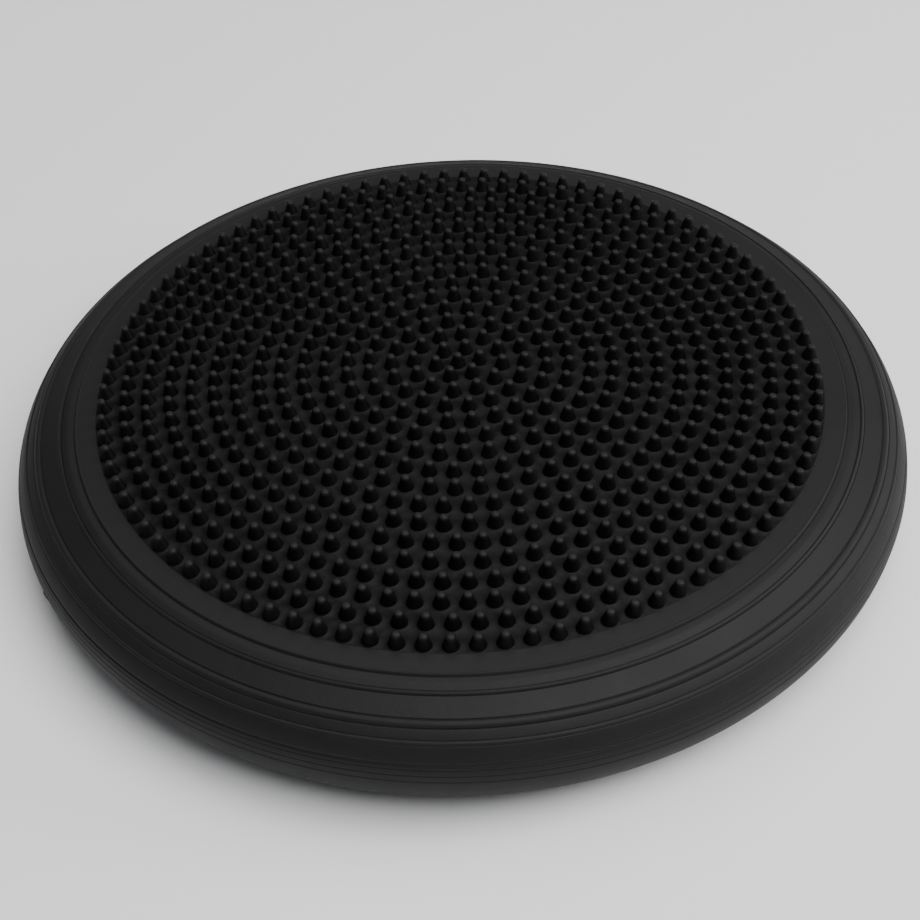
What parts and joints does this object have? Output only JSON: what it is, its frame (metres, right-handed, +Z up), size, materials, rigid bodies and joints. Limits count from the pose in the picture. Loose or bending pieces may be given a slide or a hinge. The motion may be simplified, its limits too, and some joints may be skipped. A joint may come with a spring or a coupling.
{
  "type": "wobble cushion",
  "caption": "Round air-filled balance cushion with a crowned field of blunt massage spikes on top, moulded rings around the shoulder, low nubs underneath and a needle valve in the rim.",
  "frame": {"origin": "centre of the plane that the cushion rests on, at the tips of the underside nubs", "axes": "+Z up, along the disc's axis; the valve is at -153.5 degrees from +X, and the front is -Y"},
  "size_m": [0.33, 0.33, 0.057],
  "materials": {
    "upper_skin": "matte, fine grain",
    "lower_skin": "matte, fine grain",
    "valve_rubber": "satin",
    "valve_plug": "satin"
  },
  "bodies": {
    "base": {"base_panel": "lower_skin", "lower_shoulder": "lower_skin"},
    "rim": {"lower_rim": "lower_skin", "upper_rim": "upper_skin", "upper_side": "upper_skin", "valve_housing": "valve_rubber", "valve_core": "valve_rubber"},
    "shoulder": {"shoulder_ring": "upper_skin", "panel_border": "upper_skin"},
    "panel": {"spiked_panel": "upper_skin"},
    "plug": {"valve_plug": "valve_plug"}
  },
  "joints": [
    {"name": "rock_fore_aft", "type": "hinge", "parent": "base", "child": "rim", "pos_m": [0, 0, 0.0227], "axis": [1, 0, 0], "range_deg": [-3, 3], "stiffness_Nm_per_rad": 150, "deforming": ["lower_shoulder"]},
    {"name": "rock_sideways", "type": "hinge", "parent": "rim", "child": "shoulder", "pos_m": [0, 0, 0.0227], "axis": [0, 1, 0], "range_deg": [-3, 3], "stiffness_Nm_per_rad": 150, "deforming": ["upper_side"]},
    {"name": "panel_sink", "type": "slide", "parent": "shoulder", "child": "panel", "axis": [0, 0, 1], "range_m": [-0.007, 0], "stiffness_N_per_m": 20000, "deforming": ["panel_border"]},
    {"name": "plug_pull", "type": "slide", "parent": "rim", "child": "plug", "axis": [-0.8355, -0.4166, -0.3584], "range_m": [0, 0.01]}
  ]
}
